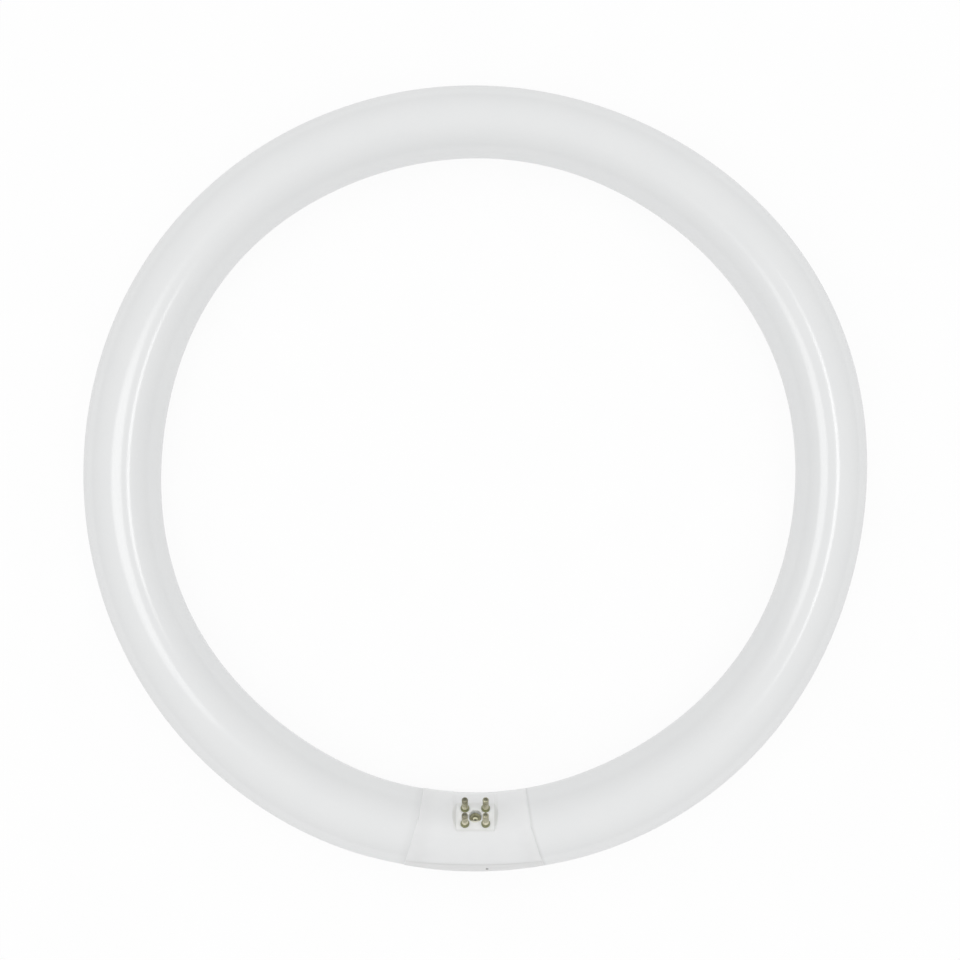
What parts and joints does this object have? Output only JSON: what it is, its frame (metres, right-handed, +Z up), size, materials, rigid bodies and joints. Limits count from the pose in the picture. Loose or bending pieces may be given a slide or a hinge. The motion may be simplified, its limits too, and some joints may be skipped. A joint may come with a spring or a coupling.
{
  "type": "circular fluorescent tube",
  "caption": "White ring-shaped fluorescent tube with a moulded plastic collar whose flat pad carries hollow brass contact pins pointing up and inwards.",
  "frame": {"origin": "centre of the ring, on the flat surface that the lamp lies on", "axes": "+Z up, square to the ring; the collar is at -Y; +X is to the right of the collar as seen from above; the pins point up and towards +Y"},
  "size_m": [0.3052, 0.3058, 0.0345],
  "materials": {
    "coated_glass": "glossy clear glass over an even matte white powder coating; cannot be seen through",
    "collar_plastic": "smooth moulded white plastic with a soft sheen",
    "pin_brass": "plain drawn brass, slightly dulled",
    "rivet_metal": "dull plated metal",
    "lead_metal": "plain drawn wire",
    "sleeve_fibre": "off-white insulating sleeve"
  },
  "bodies": {
    "root": {"glass_tube": "coated_glass", "base_shell_front": "collar_plastic", "base_shell_back": "collar_plastic", "base_rivet": "rivet_metal", "contact_pin_1": "pin_brass", "contact_pin_2": "pin_brass", "contact_pin_3": "pin_brass", "contact_pin_4": "pin_brass", "lead_wire_1": "lead_metal", "lead_wire_2": "lead_metal", "lead_wire_3": "lead_metal", "lead_wire_4": "lead_metal", "lead_sleeve_1": "sleeve_fibre", "lead_sleeve_2": "sleeve_fibre", "lead_sleeve_3": "sleeve_fibre", "lead_sleeve_4": "sleeve_fibre"}
  },
  "joints": []
}
